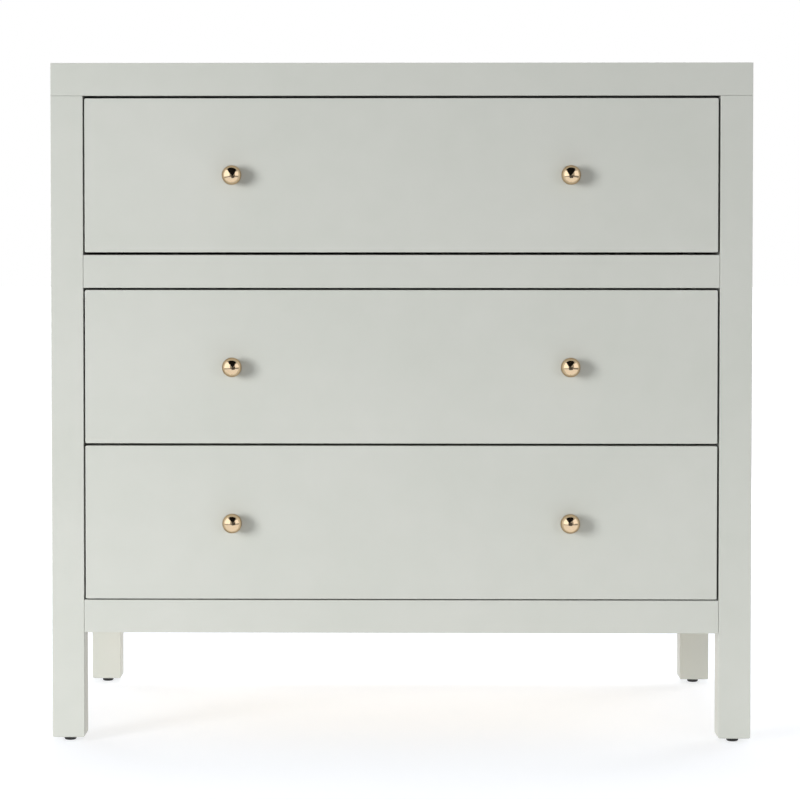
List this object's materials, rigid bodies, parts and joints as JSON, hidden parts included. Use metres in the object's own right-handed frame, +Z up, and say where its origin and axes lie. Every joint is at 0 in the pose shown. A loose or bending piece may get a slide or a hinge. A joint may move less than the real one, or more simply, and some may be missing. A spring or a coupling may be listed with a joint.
{
  "type": "dresser",
  "caption": "Floor-standing dresser with a thick flush top, square legs, inset full-width drawers, ball knobs and ball-bearing drawer slides.",
  "frame": {"origin": "on the floor, at the centre of the overall footprint, knobs included", "axes": "+X to the right seen from the front, +Y to the back, +Z up; the drawers open towards -Y"},
  "size_m": [0.914, 0.537, 0.889],
  "materials": {
    "sage_paint": "satin sage grey-green paint",
    "drawer_wood": "clear matt lacquer on pale wood",
    "knob_brass": "polished pale brass",
    "slide_steel": "zinc-plated, satin",
    "glide_plastic": "matt black"
  },
  "bodies": {
    "case": {"top_panel": "sage_paint", "front_left_leg": "sage_paint", "front_right_leg": "sage_paint", "rear_left_leg": "sage_paint", "rear_right_leg": "sage_paint", "left_side_panel": "sage_paint", "right_side_panel": "sage_paint", "left_bottom_rail": "sage_paint", "right_bottom_rail": "sage_paint", "divider_rail": "sage_paint", "front_bottom_rail": "sage_paint", "rear_bottom_rail": "sage_paint", "rear_top_rail": "drawer_wood", "front_stretcher": "drawer_wood", "back_panel": "sage_paint", "dust_panel": "drawer_wood", "top_cleats": "drawer_wood", "left_slide_battens": "drawer_wood", "right_slide_battens": "drawer_wood", "floor_glides": "glide_plastic", "top_slide_case_members": "slide_steel", "middle_slide_case_members": "slide_steel", "bottom_slide_case_members": "slide_steel"},
    "top_drawer": {"top_drawer_front": "sage_paint", "top_drawer_box_front": "drawer_wood", "top_drawer_left_side": "drawer_wood", "top_drawer_right_side": "drawer_wood", "top_drawer_back": "drawer_wood", "top_drawer_bottom": "drawer_wood", "top_drawer_knobs": "knob_brass", "top_slide_drawer_members": "slide_steel"},
    "top_slide_middle_members": {"top_slide_middle_members": "slide_steel"},
    "top_slide_outer_cages": {"top_slide_outer_cages": "slide_steel"},
    "top_slide_inner_cages": {"top_slide_inner_cages": "slide_steel"},
    "middle_drawer": {"middle_drawer_front": "sage_paint", "middle_drawer_box_front": "drawer_wood", "middle_drawer_left_side": "drawer_wood", "middle_drawer_right_side": "drawer_wood", "middle_drawer_back": "drawer_wood", "middle_drawer_bottom": "drawer_wood", "middle_drawer_knobs": "knob_brass", "middle_slide_drawer_members": "slide_steel"},
    "middle_slide_middle_members": {"middle_slide_middle_members": "slide_steel"},
    "middle_slide_outer_cages": {"middle_slide_outer_cages": "slide_steel"},
    "middle_slide_inner_cages": {"middle_slide_inner_cages": "slide_steel"},
    "bottom_drawer": {"bottom_drawer_front": "sage_paint", "bottom_drawer_box_front": "drawer_wood", "bottom_drawer_left_side": "drawer_wood", "bottom_drawer_right_side": "drawer_wood", "bottom_drawer_back": "drawer_wood", "bottom_drawer_bottom": "drawer_wood", "bottom_drawer_knobs": "knob_brass", "bottom_slide_drawer_members": "slide_steel"},
    "bottom_slide_middle_members": {"bottom_slide_middle_members": "slide_steel"},
    "bottom_slide_outer_cages": {"bottom_slide_outer_cages": "slide_steel"},
    "bottom_slide_inner_cages": {"bottom_slide_inner_cages": "slide_steel"}
  },
  "joints": [
    {"name": "top_drawer_travel", "type": "slide", "parent": "case", "child": "top_drawer", "axis": [0, -1, 0], "range_m": [0, 0.45]},
    {"name": "top_slide_middle_members_travel", "type": "slide", "parent": "case", "child": "top_slide_middle_members", "axis": [0, -1, 0], "range_m": [0, 0.225]},
    {"name": "top_slide_outer_cages_travel", "type": "slide", "parent": "case", "child": "top_slide_outer_cages", "axis": [0, -1, 0], "range_m": [0, 0.1125]},
    {"name": "top_slide_inner_cages_travel", "type": "slide", "parent": "case", "child": "top_slide_inner_cages", "axis": [0, -1, 0], "range_m": [0, 0.3375]},
    {"name": "middle_drawer_travel", "type": "slide", "parent": "case", "child": "middle_drawer", "axis": [0, -1, 0], "range_m": [0, 0.45]},
    {"name": "middle_slide_middle_members_travel", "type": "slide", "parent": "case", "child": "middle_slide_middle_members", "axis": [0, -1, 0], "range_m": [0, 0.225]},
    {"name": "middle_slide_outer_cages_travel", "type": "slide", "parent": "case", "child": "middle_slide_outer_cages", "axis": [0, -1, 0], "range_m": [0, 0.1125]},
    {"name": "middle_slide_inner_cages_travel", "type": "slide", "parent": "case", "child": "middle_slide_inner_cages", "axis": [0, -1, 0], "range_m": [0, 0.3375]},
    {"name": "bottom_drawer_travel", "type": "slide", "parent": "case", "child": "bottom_drawer", "axis": [0, -1, 0], "range_m": [0, 0.45]},
    {"name": "bottom_slide_middle_members_travel", "type": "slide", "parent": "case", "child": "bottom_slide_middle_members", "axis": [0, -1, 0], "range_m": [0, 0.225]},
    {"name": "bottom_slide_outer_cages_travel", "type": "slide", "parent": "case", "child": "bottom_slide_outer_cages", "axis": [0, -1, 0], "range_m": [0, 0.1125]},
    {"name": "bottom_slide_inner_cages_travel", "type": "slide", "parent": "case", "child": "bottom_slide_inner_cages", "axis": [0, -1, 0], "range_m": [0, 0.3375]}
  ],
  "couplings": [
    {"joint": "top_slide_middle_members_travel", "follows": "top_drawer_travel", "ratio": 0.5},
    {"joint": "top_slide_outer_cages_travel", "follows": "top_drawer_travel", "ratio": 0.25},
    {"joint": "top_slide_inner_cages_travel", "follows": "top_drawer_travel", "ratio": 0.75},
    {"joint": "middle_slide_middle_members_travel", "follows": "middle_drawer_travel", "ratio": 0.5},
    {"joint": "middle_slide_outer_cages_travel", "follows": "middle_drawer_travel", "ratio": 0.25},
    {"joint": "middle_slide_inner_cages_travel", "follows": "middle_drawer_travel", "ratio": 0.75},
    {"joint": "bottom_slide_middle_members_travel", "follows": "bottom_drawer_travel", "ratio": 0.5},
    {"joint": "bottom_slide_outer_cages_travel", "follows": "bottom_drawer_travel", "ratio": 0.25},
    {"joint": "bottom_slide_inner_cages_travel", "follows": "bottom_drawer_travel", "ratio": 0.75}
  ]
}
